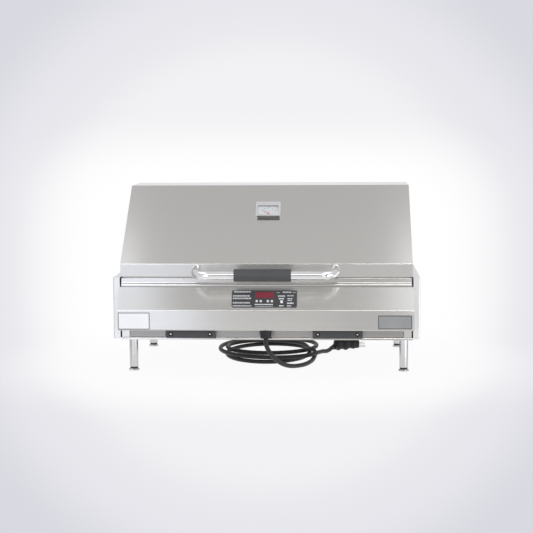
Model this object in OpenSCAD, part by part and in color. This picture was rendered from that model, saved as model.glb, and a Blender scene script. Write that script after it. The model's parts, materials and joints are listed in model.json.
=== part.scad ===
// Electric table grill: a folded steel box on four levelling legs, a hinged hood,
// two drip trays, two lift-out grates and a sloped control front.
// +X right, +Y back, +Z up, millimetres. The origin is on the table under the middle.

/* [Body] */
// Width over the two side panels
body_w = 813; // [790:1:900]
// Depth of the side panels
body_d = 560; // [550:1:620]
// Height of the side panels
body_h = 163.5; // [158:0.5:190]
// Thickness of a side panel over its folded edges
side_t = 18; // [12:0.5:26]
// Slot between a side panel and the cooking unit
slot_w = 4; // [2.5:0.5:8]
// Drop of the cooking unit's rim below the side panels
deck_drop = 0.5; // [0:0.5:4]
// Height of the floor above the lower edge of the side panels
floor_up = 4; // [2:0.5:8]
// Height of the floor's turned-down front edge
floor_lip = 6.5; // [4:0.5:10]
// Thickness of the steel sheet
sheet_t = 1.2; // [0.8:0.1:1.6]
// Outside radius of the folds
bend_r = 3; // [2:0.1:3.2]
// Depth of the rear deck behind the cooking well's rim
deck_d = 60; // [50:1:70]
// Length of a cooling slot in the rear panel
vent_l = 30; // [20:1:40]
// Width of a cooling slot
vent_w = 5; // [3:0.5:7]
// Number of cooling slots in a row
vent_count = 12; // [6:1:14]

/* [Legs] */
// Height from the table to the lower edge of the side panels
leg_h = 103.5; // [90:0.5:140]
// Diameter of a leg
leg_d = 24; // [20:0.5:30]
// Wall of a leg
leg_wall = 1.5; // [1:0.1:2.5]
// Gap between a leg's flange and the side panel
leg_clear = 0.5; // [0.5:0.5:20]
// Leg axis behind the front plane
leg_front = 104; // [60:1:140]
// Leg axis ahead of the rear plane
leg_rear = 53; // [40:1:100]
// Diameter of the flange that holds a leg to the floor
leg_flange_d = 38; // [34:1:50]
// Diameter of a foot
foot_d = 30; // [26:0.5:40]
// Height of a foot's flange
foot_h = 5.5; // [5:0.5:12]
// Height of a foot's neck
foot_neck_h = 5; // [3:0.5:8]
// Foot's neck inside the leg's outline
foot_neck_in = 1.4; // [1:0.2:4]
// Reach of a foot's stud into the leg when the foot is screwed out
stud_in = 26; // [15:1:30]
// Diameter of a foot's screw
stud_d = 10; // [8:0.5:12]
// How far a foot screws out
foot_travel = 20; // [10:1:25]

/* [Control front] */
// Height of the plain rail under the hood
rail_h = 14.1; // [12:0.1:20]
// Reach of the lip along the front rail's lower edge
rail_lip = 5; // [4:0.5:6]
// Drop of that lip
rail_lip_drop = 2.2; // [1.5:0.1:4]
// Height of the lip's turned-down front edge
rail_hem = 5.8; // [4.5:0.1:7]
// Depth of the front rail's level top
rail_flange = 24; // [18:0.5:24]
// Set-back of the rail behind the front plane
rail_back = 3; // [2:0.5:5]
// How far the control front stands out
fascia_reach = 35; // [28:1:45]
// Height of its slope
slope_h = 58.9; // [56:0.1:68]
// Gap between its lower edge and the tray handles
face_gap = 2.5; // [2:0.1:4]
// How far it laps over each side panel
fascia_lap = 1.5; // [1:0.5:8]
// Width of the keypad overlay
overlay_w = 172; // [160:1:200]
// Height of the keypad overlay
overlay_h = 48; // [44:1:54]
// Thickness of the keypad overlay
overlay_t = 0.8; // [0.5:0.1:1.5]
// Overlay's centre to the right of the middle
overlay_x = -3; // [-20:1:20]
// Overlay's centre up the slope from the slope's middle
overlay_up = -1; // [-3:0.5:2]
// Width of the display
display_w = 49; // [40:1:60]
// Height of the display
display_h = 17; // [12:0.5:18]
// Display's centre above the overlay's
display_up = 11; // [11:0.1:13]
// Diameter of a key
key_d = 6.6; // [5:0.1:8]
// Stroke of a key
key_stroke = 0.6; // [0.3:0.1:0.9]
// Half the spacing of the inner pair of keys
key_inner = 9.4; // [8.5:0.1:11]
// Half the spacing of the outer pair of keys
key_outer = 20; // [19:0.5:30]
// Keys' line below the overlay's centre
key_down = 6.5; // [5:0.5:10]

/* [Control bay] */
// Relay's centre to the right of the middle
relay_x = -150; // [-250:5:-80]
// Width of the relay
relay_w = 46; // [36:1:56]
// Depth of the relay
relay_d = 22; // [16:0.5:24]
// Height of the relay
relay_h = 34; // [24:1:38]
// Terminal block's centre to the right of the middle
terminal_x = 90; // [60:5:250]
// Depth and height of the terminal block's ribs
terminal_d = 20; // [14:0.5:22]
// Board's end inside the overlay's
board_side = 15; // [10:1:25]

/* [Hood] */
// Gap between the hood and a side panel
hood_side_gap = 2; // [1:0.5:4]
// Gap between the hood's lower edge and the rim
hood_gap = 1.5; // [1.2:0.1:6]
// Height of the hood's upright front lip
lip_h = 36; // [32:0.5:44]
// Depth of the hood's sloped front
slope_d = 231; // [200:1:240]
// Rise of the hood's sloped front
slope_rise = 196.5; // [180:0.5:220]
// Room behind the hood, to the rear plane
hood_rear = 55; // [50:1:70]
// Depth of the hood's sloped back
back_d = 95; // [85:1:98]
// Height of the hood's upright back
back_h = 82; // [70:1:120]
// Width of the hem under the hood
hem_w = 12; // [8:1:16]

/* [Hinge] */
// Distance of a hinge from the hood's end
hinge_in = 136.5; // [60:0.5:260]
// Length of a hinge
hinge_l = 60; // [48:1:90]
// Diameter of a hinge knuckle
knuckle_d = 10; // [8:0.5:11]
// Diameter of a hinge pin
pin_d = 5; // [3:0.5:6]
// Thickness of a hinge leaf
leaf_t = 2; // [1.5:0.1:2.5]
// Height of the leaf on the hood
leaf_h = 45; // [30:1:60]
// Depth of the leaf on the rear deck
leaf_d = 32; // [24:1:38]
// Hinge axis behind the hood's back and above the rear deck
hinge_off = 6; // [5.8:0.1:7]

/* [Handle] */
// Spacing of the handle's two posts
handle_span = 370; // [300:1:420]
// Diameter of the handle tube
handle_d = 22; // [18:0.5:26]
// Handle's reach in front of the hood
handle_reach = 62; // [56:1:80]
// Drop of the handle's front below its posts
handle_drop = 10.5; // [0:0.5:14]
// Radius of the handle's bends
handle_bend = 38; // [30:1:44]
// Height of the posts above the hood's lower edge
handle_up = 22.5; // [17:0.5:23]
// Length of the grip
grip_l = 149; // [110:1:200]
// Diameter of the grip
grip_d = 33; // [29:0.5:38]
// Grip's centre to the right of the middle
grip_x = -5.5; // [-20:0.5:20]
// Rounding of the grip's ends
grip_round = 2; // [0.5:0.1:2.4]

/* [Thermometer] */
// Width of the thermometer's case
gauge_w = 67.5; // [64:0.5:80]
// Height of the case
gauge_h = 55; // [54:0.5:70]
// Depth of the case
gauge_t = 9; // [8.5:0.5:12]
// Case's centre up the hood's slope
gauge_up = 200; // [160:1:240]
// Width of the dial
dial_w = 52; // [48:1:56]
// Height of the dial
dial_h = 32; // [31:0.5:35]
// Dial's centre below the case's centre
dial_down = 4.5; // [2:0.5:6]
// Needle's pivot below the dial's centre
pivot_down = 9.5; // [8:0.5:9.5]
// Length of the needle
needle_l = 20; // [16:0.5:22]
// Needle's direction at rest, from the right
needle_rest = 143; // [100:1:160]
// Length of the probe stem behind the hood's skin
stem_l = 25; // [15:1:30]
// Diameter of the probe stem
stem_d = 6; // [4:0.5:8]

/* [Drip trays] */
// Depth of a tray
tray_d = 430; // [380:1:440]
// Height of a tray's walls
tray_h = 15; // [10:0.5:17]
// Wall of a tray
tray_wall = 1; // [0.8:0.1:1.5]
// Set-back of a tray's face behind the front plane
tray_back = 4; // [3.5:0.5:6]
// Width of a side guide
guide_w = 20; // [14:1:24]
// Width of the divider between the trays
divider_w = 38.6; // [36:0.2:44]
// Gap between a tray and what guides it
tray_gap = 0.7; // [0.4:0.1:1]
// Gap under a tray
tray_lift = 0.3; // [0.2:0.1:0.5]
// Width of a tray handle
pull_w = 131.5; // [110:0.5:160]
// Height of a tray handle
pull_h = 20; // [16:0.5:21]
// Reach of a tray handle in front of the tray
pull_reach = 20; // [14:0.5:24]
// Left handle's centre outward of its tray's middle
pull_out_left = 8.5; // [-20:0.5:20]
// Right handle's centre outward of its tray's middle
pull_out_right = -2.5; // [-20:0.5:20]
// Spacing of a tray handle's screws
pull_screws = 104; // [80:1:105]
// Diameter of the sunk hole for a screw head
pull_hole_d = 11; // [8:0.5:12]

/* [Cooking well] */
// Width of the well
well_w = 720; // [700:1:724]
// Depth of the well
well_d = 430; // [420:1:434]
// Front of the well behind the front plane
well_front = 30; // [29:0.5:32]
// Gap between the well's bottom and the tray guides
well_up = 15; // [13:1:30]
// Width of the ledge round the well's open bottom
well_ledge = 22; // [15:1:30]
// Width of the ledges that carry the grates
grate_ledge = 10; // [8:0.5:14]
// Top of the grates below the rim
grate_down = 6; // [3:0.5:10]
// Diameter of a grate rod
rod_d = 6; // [5:0.5:8]
// Spacing of the grate rods
rod_pitch = 14; // [12:0.5:18]
// Height of a grate's cross bars
bar_h = 9; // [7:0.5:12]
// Width of a grate's cross bars
bar_w = 6; // [4:0.5:8]
// Gap round a grate
grate_gap = 4; // [2:0.5:6]
// Diameter of the heating tube
tube_d = 8; // [6:0.5:10]
// Heating tube's axis below the rim
tube_down = 60; // [45:1:70]
// Spacing of the heating tube's runs
tube_pitch = 58; // [50:1:60]
// Number of runs of the heating tube
tube_runs = 12; // [8:2:12]
// Gap between the heating tube's bends and the well's ends
tube_end_gap = 22; // [15:1:40]
// Height of the bars that carry the heating tube
rest_h = 18; // [10:1:24]
// Diameter of the temperature probe
probe_d = 6; // [4:0.5:8]
// Length of the temperature probe in the well
probe_l = 110; // [60:1:160]

/* [Cord] */
// Diameter of the power cord
cord_d = 12; // [10:0.5:13]
// Length of the strain relief
relief_l = 21; // [20:0.5:24]
// Diameter of the strain relief at its top
relief_d = 34; // [30:0.5:35]
// Diameter of the strain relief at its lower end
relief_end_d = 28; // [20:0.5:28]
// Strain relief's axis in front of the front plane
relief_front = 18; // [17.5:0.5:19]
// Turns in the loose coil
coil_turns = 2.75; // [1.75:1:3.75]
// Radius of the coil where it is narrowest
coil_r = 115; // [100:1:120]
// Growth of the coil's radius for each turn
coil_step = 19.5; // [18:0.5:22]
// Length of the plug's body
plug_l = 75; // [68:1:84]
// Diameter of the plug's body
plug_d = 37; // [34:0.5:44]
// Length of the plug's boot, from its middle line
boot_l = 26; // [25:0.5:32]
// Length of a plug blade
blade_l = 18; // [15:0.5:22]

/* [Hidden] */
$fn = 48;

// Clearances: a seam, a running fit, a loose hole, a seat
seam = 0.05;
run_fit = 0.05;
hole_fit = 0.3;
seat = 0.2;
bend_steps = 6;
past = 1;

// Planes of the body
handle_front = handle_reach + max(grip_d, handle_d)/2;
front_y = (handle_front - body_d)/2;
rear_y = front_y + body_d;
outer_x = body_w/2;
inner_x = outer_x - side_t;
unit_x = inner_x - slot_w;
side_z = leg_h;
side_top = side_z + body_h;
deck_z = side_top - deck_drop;
floor_z = side_z + floor_up;
tray_z = floor_z + tray_lift;
pull_z = tray_z + seat;
deck_y = rear_y - deck_d;
leg_x = inner_x - leg_clear - leg_flange_d/2;
leg_y = [front_y + leg_front, rear_y - leg_rear];

// Control front
rail_y = front_y + rail_back;
rail_lip_gap = 1.2;
rail_gap = rail_lip_drop + rail_hem + rail_lip_gap;
rail_flange_y = front_y + rail_flange;
ledge_z = deck_z - rail_h - rail_gap;
tuck_y = rail_y + sheet_t + seam;
tuck_h = 13;
brow = 2.5;
flange_gap = 2;
face_y = front_y - fascia_reach;
slope_z = ledge_z - slope_h;
face_z = pull_z + pull_h + face_gap;
fascia_x = inner_x + fascia_lap;
fascia_path = [[tuck_y, ledge_z + tuck_h], [tuck_y, ledge_z], [front_y - brow, ledge_z],
    [face_y, slope_z], [face_y, face_z], [front_y - flange_gap, face_z]];
fascia_a = atan2(slope_h, fascia_reach - brow);
fascia_mid = [0, (front_y - brow + face_y)/2, (ledge_z + slope_z)/2];
bay_z = face_z + sheet_t;
shield_back = 20;
shield_y = front_y + shield_back;
shield_lap = 4;
shield_x = unit_x - 4;
board_depth = 11;
board_t = 1.6;
board_h = 44;
switch_h = 3;
key_stem_d = 4;
key_cap_t = 1.2;
key_x = [-key_outer, -key_inner, key_inner, key_outer];

// Hood
hood_x = inner_x - hood_side_gap;
hinge_x = hood_x - hinge_in;
hood_z = deck_z + hood_gap;
lip_z = hood_z + lip_h;
top_z = lip_z + slope_rise;
back_y = rear_y - hood_rear;
hood_path = [[back_y - hem_w, hood_z], [back_y, hood_z], [back_y, hood_z + back_h],
    [back_y - back_d, top_z], [front_y + slope_d, top_z], [front_y, lip_z], [front_y, hood_z],
    [front_y + hem_w, hood_z]];
hood_a = atan2(slope_rise, slope_d);
hinge_y = back_y + hinge_off;
hinge_z = deck_z + hinge_off;
knuckle_gap = 0.4;
knuckle_l = hinge_l/3;
leaf_notch = 2;

// Handle
handle_z = hood_z + handle_up;
handle_a = atan2(handle_drop, handle_reach);
handle_l = norm([handle_drop, handle_reach]);
post_x = handle_span/2;

// Thermometer, on the hood's slope
gauge_mid = [0, front_y + gauge_up*cos(hood_a), lip_z + gauge_up*sin(hood_a)];
gauge_back_t = 2.5;
lens_t = 1.2;
lens_z = gauge_t - 1.4 - lens_t;
lens_rim = 1.5;
dial_t = 0.6;
needle_t = 0.6;
needle_z = gauge_back_t + dial_t + 0.5;
pivot_d = 1.6;
hub_d = 5;

// Trays
guide_h = face_z - floor_z - 0.5;
guide_y = front_y + 2;
tray_face_y = front_y + tray_back;
tray_x0 = divider_w/2 + tray_gap;
tray_x1 = unit_x - guide_w - tray_gap;
tray_mid = (tray_x0 + tray_x1)/2;
tray_face_h = guide_h - 1;
guide_past = 20;
guide_d = tray_d + guide_past;
pull_hole_depth = 4;
pull_round = 3;

// Cooking well
well_x = well_w/2;
well_y = front_y + well_front;
well_rear = well_y + well_d;
well_z = floor_z + guide_h + well_up;
skirt_h = 22;
rod_z = deck_z - grate_down - rod_d/2;
bar_z = rod_z - rod_d/2 - bar_h + 1.5;
ledge_t = 2;
grate_z = bar_z - seat;
grate_x0 = grate_gap;
grate_x1 = well_x - grate_gap;
grate_y0 = well_y + grate_gap;
grate_y1 = well_rear - grate_gap;
rod_count = floor((grate_x1 - grate_x0 - rod_d)/rod_pitch) + 1;
rod_x0 = (grate_x0 + grate_x1 - (rod_count - 1)*rod_pitch)/2;
tube_z = deck_z - tube_down;
tube_x0 = -(tube_runs - 1)*tube_pitch/2;
tube_y0 = well_y + tube_end_gap + tube_pitch/2;
tube_y1 = well_rear - tube_end_gap - tube_pitch/2;
tube_out_y = front_y + 10;
rest_t = 3;
probe_up = 24;
probe_z = tube_z + probe_up;

// Strain relief and cord
relief_y = front_y - relief_front;
relief_z = face_z - relief_l;
relief_neck_d = 18;
relief_nut_d = 25;
relief_nut_h = 5;
cord_r = cord_d/2;
cord_sides = 8;
lay_z = cord_r + 0.2;
layer_h = cord_d + 0.8;

// Coil: its centre, the turn where it starts to widen, the turns between which it climbs
// a layer, how much deeper than wide its first and last turns are, and how far back its
// middle turns lie
coil_x = -8;
coil_depth = 352;
coil_widen = 0.95;
coil_climb = [0.97, 1.12];
coil_deep = [1.26, 1.04];
coil_deep_at = [0.8, 1.3];
coil_wander = 60;
coil_wander_at = 1.88;
coil_wander_turns = 1.1;
coil_rings = 24;
gap_samples = 96;

// Lead from the strain relief to the coil, and tail from the coil to the plug:
// x, depth behind the front plane, height
lead_route = [[0, -relief_front, relief_z], [0, -relief_front, relief_z - cord_d], [3, -15, 84],
    [9, -6, 70], [18, 10, 54], [31, 34, 37], [48, 66, 22], [70, 105, 12], [97, 155, 7.5],
    [115, 215, lay_z], [123, 283, lay_z]];
tail_route = [[28, 201, 19], [62, 209, 19], [92, 226, 19], [116, 252, 19], [133, 288, 18.5],
    [146, 326, 15.5], [157, 354, 11.5], [166, 382, 11]];

// Plug: start of its middle line, the way that points, how far along it the boot meets it, the way
// the cord runs into the boot and the boot's height; waves of its grip and its rounded end
plug_start = [178, 432.5, plug_d/2 + 0.2];
plug_turn = 12;
boot_along = 13;
boot_turn = 62;
boot_z = 14;
plug_pitch = 23.5;
plug_wave = 3.6;
plug_slim = 0.13;
plug_round = 8;
plug_face_d = 26.8;
plug_mid = plug_start + boot_along*[cos(plug_turn), sin(plug_turn), 0];
plug_dir = [cos(boot_turn), sin(boot_turn), 0];
plug_at = [plug_mid[0], plug_mid[1], boot_z] - boot_l*plug_dir;

// Left-hand side of a direction, a turned direction, and the turn between two directions
function unit(v) = v/norm(v);
function left_of(u) = [-u[1], u[0]];
function turned(v, a) = [v[0]*cos(a) - v[1]*sin(a), v[0]*sin(a) + v[1]*cos(a)];
function turn_between(u, v) = atan2(u[0]*v[1] - u[1]*v[0], u*v);
function reversed(list) = [for (i = [len(list) - 1:-1:0]) list[i]];

// Points of a fold of radius r at b, moved off to the left of the way from a to c
function fold(a, b, c, r, off) =
    let (u = unit(b - a), v = unit(c - b), phi = turn_between(u, v), s = sign(phi),
         start = b - u*r*tan(abs(phi)/2), centre = start + left_of(u)*s*r)
    [for (i = [0:bend_steps]) centre - s*(r - s*off)*turned(left_of(u), phi*i/bend_steps)];

// One face of a folded sheet, off to the left of its outline
function sheet_face(path, r, off) =
    let (n = len(path) - 1)
    concat([path[0] + off*left_of(unit(path[1] - path[0]))],
           [for (i = [1:n - 1]) each fold(path[i - 1], path[i], path[i + 1], r, off)],
           [path[n] + off*left_of(unit(path[n] - path[n - 1]))]);

// Closed outline with rounded corners
function rounded(points, r) =
    let (n = len(points))
    [for (i = [0:n - 1]) each fold(points[(i + n - 1)%n], points[i], points[(i + 1)%n], r, 0)];

// Section of a folded sheet whose outline has the metal on its left
module sheet(path) {
    polygon(concat(sheet_face(path, bend_r, 0), reversed(sheet_face(path, bend_r, sheet_t))));
}

// Stretch a section drawn in Y and Z across X
module across(w) {
    rotate([90, 0, 90]) linear_extrude(w, center = true) children();
}

// Box between two corners
module block(a, b) {
    translate(a) cube(b - a);
}

module round_rect(w, h, r) {
    polygon(rounded([[-w/2, -h/2], [w/2, -h/2], [w/2, h/2], [-w/2, h/2]], r));
}

module slot_shape(l, w) {
    square([l - w, w], center = true);
    for (s = [-1, 1]) translate([s*(l - w)/2, 0]) circle(d = w);
}

// Put a right-hand piece on the left
module handed(side) {
    if (side > 0) children();
    else mirror([1, 0, 0]) children();
}

// Frames on the sloped control front and on the hood's slope: x across, y up, z outwards
module on_fascia() translate(fascia_mid) rotate([fascia_a, 0, 0]) children();
module on_overlay() on_fascia() translate([overlay_x, overlay_up, seam]) children();
module on_hood() translate(gauge_mid) rotate([hood_a, 0, 0]) children();

module side_panel(side) {
    path = [[inner_x, front_y], [outer_x, front_y], [outer_x, rear_y], [inner_x, rear_y]];
    color("gainsboro") handed(side) translate([0, 0, side_z]) {
        linear_extrude(body_h) sheet(path);
        for (z = [0, body_h - sheet_t]) translate([0, 0, z])
            linear_extrude(sheet_t) polygon(sheet_face(path, bend_r, sheet_t));
    }
}

module base_pan() {
    path = [[rear_y, floor_z], [front_y, floor_z], [front_y, floor_z - floor_lip]];
    color("lightgray") across(2*inner_x) sheet(path);
}

module rear_panel() {
    foot_w = 18;
    path = [[rear_y - foot_w, floor_z], [rear_y, floor_z], [rear_y, deck_z], [deck_y, deck_z]];
    vent_rows = [0.35, 0.6];
    vent_pitch = 2*inner_x/(vent_count + 1);
    color("lightgray") difference() {
        across(2*inner_x) sheet(path);
        for (i = [1:vent_count], row = vent_rows)
            translate([-inner_x + i*vent_pitch, rear_y + past, floor_z + row*(deck_z - floor_z)])
                rotate([90, 0, 0]) linear_extrude(sheet_t + 2*past) slot_shape(vent_l, vent_w);
    }
}

// Frame of four walls round the well, grown outwards
module well_frame(z0, z1, grow, cut) {
    difference() {
        block([-well_x - grow, well_y - grow, z0], [well_x + grow, well_rear + grow, z1]);
        block([-well_x + cut, well_y + cut, z0 - past], [well_x - cut, well_rear - cut, z1 + past]);
    }
}

module tube_ends(d) {
    for (s = [-1, 1]) translate([s*tube_x0, well_y + past, tube_z])
        rotate([90, 0, 0]) cylinder(d = d, h = well_front);
}

module probe_hole(d) {
    translate([0, well_y + past, probe_z]) rotate([90, 0, 0]) cylinder(d = d, h = well_front);
}

module firebox() {
    color("silver") difference() {
        union() {
            difference() {
                block([-unit_x, rail_flange_y, deck_z - sheet_t], [unit_x, deck_y, deck_z]);
                block([-well_x, well_y, well_z], [well_x, well_rear, deck_z + past]);
            }
            well_frame(well_z, deck_z, sheet_t, 0);
            well_frame(well_z, well_z + sheet_t, sheet_t, well_ledge);
            for (s = [0, 1]) mirror([s, 0, 0])
                block([unit_x - sheet_t, rail_flange_y, deck_z - skirt_h], [unit_x, deck_y, deck_z]);
            block([-well_x, well_y, grate_z - ledge_t], [well_x, well_y + grate_ledge, grate_z]);
            block([-well_x, well_rear - grate_ledge, grate_z - ledge_t], [well_x, well_rear, grate_z]);
        }
        tube_ends(tube_d + 2*hole_fit);
        probe_hole(probe_d + 2*hole_fit);
    }
}

module front_rail() {
    path = [[rail_flange_y, deck_z], [rail_y, deck_z], [rail_y, deck_z - rail_h],
        [rail_y - rail_lip, deck_z - rail_h - rail_lip_drop], [rail_y - rail_lip, ledge_z + rail_lip_gap]];
    color("gainsboro") across(2*unit_x) sheet(path);
}

// Half plane in front of the side panels, in Y and Z
module ahead_of_panels() {
    translate([front_y - body_d, 0]) square([body_d, 2*deck_z]);
}

module fascia_openings() {
    deep = 3*sheet_t;
    on_overlay() {
        translate([0, display_up, -deep]) linear_extrude(2*deep)
            square([display_w - 4, display_h - 4], center = true);
        for (x = key_x) translate([x, -key_down, -deep])
            cylinder(d = key_stem_d + 2*hole_fit, h = 2*deep);
    }
    translate([0, relief_y, face_z - past])
        cylinder(d = relief_neck_d + 2*hole_fit, h = sheet_t + 2*past);
}

module control_fascia() {
    color("gainsboro") difference() {
        union() {
            across(2*fascia_x) intersection() {
                sheet(fascia_path);
                ahead_of_panels();
            }
            across(2*unit_x) sheet(fascia_path);
            for (s = [-1, 1]) translate([s*(fascia_x - sheet_t/2), 0, 0])
                across(sheet_t) intersection() {
                    polygon(sheet_face(fascia_path, bend_r, sheet_t/2));
                    ahead_of_panels();
                }
        }
        fascia_openings();
    }
}

module heat_shield() {
    path = [[front_y - shield_lap, bay_z], [shield_y, bay_z], [shield_y, deck_z - sheet_t]];
    color("darkgray") difference() {
        across(2*shield_x) sheet(path);
        tube_ends(tube_d + 4*hole_fit);
        probe_hole(probe_d + 4*hole_fit);
    }
}

module tray_guide(side) {
    color("lightgray") handed(side) difference() {
        block([unit_x - guide_w, guide_y, floor_z], [unit_x, guide_y + guide_d, floor_z + guide_h]);
        block([unit_x - guide_w + sheet_t, guide_y + sheet_t, floor_z + sheet_t],
              [unit_x + past, guide_y + guide_d + past, floor_z + guide_h - sheet_t]);
    }
}

module tray_divider() {
    x = divider_w/2;
    color("lightgray") difference() {
        block([-x, guide_y, floor_z], [x, guide_y + guide_d, floor_z + guide_h]);
        block([-x + sheet_t, guide_y + sheet_t, floor_z - past],
              [x - sheet_t, guide_y + guide_d + past, floor_z + guide_h - sheet_t]);
    }
}

module tray(side) {
    face = sheet_t;
    color("darkgray") handed(side) {
        block([tray_x0, tray_face_y, tray_z], [tray_x1, tray_face_y + face, tray_z + tray_face_h]);
        difference() {
            block([tray_x0, tray_face_y + face, tray_z], [tray_x1, tray_face_y + tray_d, tray_z + tray_h]);
            block([tray_x0 + tray_wall, tray_face_y + face, tray_z + tray_wall],
                  [tray_x1 - tray_wall, tray_face_y + tray_d - tray_wall, tray_z + tray_h + past]);
        }
    }
}

module tray_handle(side) {
    section = rounded([[tray_face_y - pull_reach, pull_z], [tray_face_y, pull_z],
        [tray_face_y, pull_z + pull_h], [tray_face_y - pull_reach, pull_z + pull_h]], pull_round);
    mid = tray_mid + (side < 0 ? pull_out_left : pull_out_right);
    color("dimgray") handed(side) translate([mid, 0, 0]) difference() {
        across(pull_w) polygon(section);
        for (s = [-1, 1])
            translate([s*pull_screws/2, tray_face_y - pull_reach + pull_hole_depth, pull_z + pull_h/2])
                rotate([90, 0, 0]) cylinder(d = pull_hole_d, h = pull_hole_depth + past);
    }
}

module heating_element() {
    tube_r = tube_d/2;
    last = tube_runs - 1;
    color("dimgray") translate([0, 0, tube_z]) {
        for (i = [0:last]) {
            from = (i == 0 || i == last) ? tube_out_y : tube_y0;
            translate([tube_x0 + i*tube_pitch, from, 0])
                rotate([-90, 0, 0]) cylinder(r = tube_r, h = tube_y1 - from);
        }
        for (i = [0:last - 1]) {
            at_back = i%2 == 0;
            translate([tube_x0 + (i + 0.5)*tube_pitch, at_back ? tube_y1 : tube_y0, 0])
                rotate([0, 0, at_back ? 0 : 180])
                    rotate_extrude(angle = 180) translate([tube_pitch/2, 0]) circle(r = tube_r);
        }
    }
}

module element_rests() {
    top = tube_z - tube_d/2 - seat;
    color("silver") for (y = [tube_y0 + tube_pitch, tube_y1 - tube_pitch])
        block([-well_x, y, top - rest_h], [well_x, y + rest_t, top]);
}

module temperature_probe() {
    head_d = probe_d + 6;
    head_l = 4;
    color("silver") translate([0, well_y, probe_z]) {
        translate([0, -well_front + 12, 0]) rotate([-90, 0, 0])
            cylinder(d = probe_d, h = probe_l + well_front - 12);
        rotate([-90, 0, 0]) cylinder(d = head_d, h = head_l);
    }
}

module control_board() {
    top = -board_depth;
    board_w = overlay_w - 2*board_side;
    standoff_d = 6;
    color("darkgreen") on_overlay() {
        translate([0, 0, top - board_t]) linear_extrude(board_t) square([board_w, board_h], center = true);
        translate([0, display_up, top]) linear_extrude(board_depth - sheet_t - 0.3)
            square([display_w - 5, display_h - 5], center = true);
        for (x = key_x) translate([x, -key_down, top]) linear_extrude(switch_h)
            square(key_stem_d + 2, center = true);
        for (x = [-1, 1], y = [-1, 1])
            translate([x*(board_w/2 - standoff_d), y*(board_h/2 - standoff_d), top])
                cylinder(d = standoff_d, h = board_depth - sheet_t - 2*seam);
    }
}

module power_relay() {
    tab = [5, 0.8, 8];
    tabs = 4;
    pitch = relay_w/(tabs + 0.6);
    color("black") translate([relay_x, front_y - shield_lap - relay_d/2 - 3, bay_z]) {
        translate([-relay_w/2, -relay_d/2, 0]) cube([relay_w, relay_d, relay_h]);
        for (i = [0:tabs - 1]) translate([(i - (tabs - 1)/2)*pitch - tab[0]/2, 0, relay_h]) cube(tab);
    }
}

module terminal_block() {
    ways = 4;
    pitch = 16;
    rib = [2, terminal_d, terminal_d];
    base_h = 12;
    color("ivory") translate([terminal_x, front_y - shield_lap - rib[1]/2 - 4, bay_z]) {
        translate([-ways*pitch/2, -rib[1]/2, 0]) cube([ways*pitch, rib[1], base_h]);
        for (i = [0:ways]) translate([(i - ways/2)*pitch - rib[0]/2, -rib[1]/2, 0]) cube(rib);
        for (i = [0:ways - 1]) translate([(i - (ways - 1)/2)*pitch, 0, base_h]) cylinder(d = 7, h = 4);
    }
}

module keypad_overlay() {
    color("#303030") on_overlay() linear_extrude(overlay_t) difference() {
        round_rect(overlay_w, overlay_h, 3);
        translate([0, display_up]) square([display_w + 2*seam, display_h + 2*seam], center = true);
        for (x = key_x) translate([x, -key_down]) circle(d = key_d + 2*hole_fit);
    }
}

module display_window() {
    color("#7a2030") on_overlay() translate([0, display_up, 0])
        linear_extrude(overlay_t + 0.2) square([display_w, display_h], center = true);
}

module key(i) {
    stem_end = switch_h - board_depth + key_stroke + 0.1;
    color("white") on_overlay() translate([key_x[i], -key_down, 0]) {
        translate([0, 0, key_stroke + 0.1]) cylinder(d = key_d, h = key_cap_t);
        translate([0, 0, stem_end]) cylinder(d = key_stem_d, h = key_stroke + 0.1 - stem_end);
    }
}

module hinge_axis(d, l) {
    translate([hinge_x, hinge_y, hinge_z]) rotate([0, 90, 0]) cylinder(d = d, h = l, center = true);
}

module outer_knuckles(d) {
    difference() {
        hinge_axis(d, hinge_l);
        hinge_axis(d + past, knuckle_l + knuckle_gap);
    }
}

module hinge_base(side) {
    x0 = hinge_x - hinge_l/2;
    x1 = hinge_x + hinge_l/2;
    notch = (knuckle_l + knuckle_gap)/2;
    r = knuckle_d/2;
    color("silver") handed(side) difference() {
        union() {
            block([x0, hinge_y, deck_z], [x1, hinge_y + leaf_d, deck_z + leaf_t]);
            block([x0, hinge_y, deck_z], [x1, hinge_y + r, hinge_z]);
            outer_knuckles(knuckle_d);
        }
        block([hinge_x - notch, hinge_y - r - past, deck_z - past],
              [hinge_x + notch, hinge_y + r + leaf_notch, hinge_z + r + past]);
        hinge_axis(pin_d + 2*run_fit, hinge_l + past);
    }
}

module hinge_leaf(side) {
    x0 = hinge_x - hinge_l/2;
    x1 = hinge_x + hinge_l/2;
    tongue = (knuckle_l - knuckle_gap)/2;
    r = knuckle_d/2;
    color("silver") handed(side) difference() {
        union() {
            block([x0, back_y, hinge_z + r + leaf_notch], [x1, back_y + leaf_t, hinge_z + leaf_h]);
            block([hinge_x - tongue, back_y, hinge_z], [hinge_x + tongue, back_y + leaf_t, hinge_z + leaf_h]);
            block([hinge_x - tongue, back_y, hinge_z], [hinge_x + tongue, hinge_y, hinge_z + r]);
            hinge_axis(knuckle_d, 2*tongue);
        }
        hinge_axis(pin_d + 2*run_fit, hinge_l + past);
    }
}

module hinge_pin(side) {
    head = 1.5;
    color("gray") handed(side) {
        hinge_axis(pin_d, hinge_l);
        for (s = [-1, 1]) translate([s*(hinge_l + head)/2, 0, 0]) hinge_axis(pin_d + 2, head);
    }
}

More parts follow.
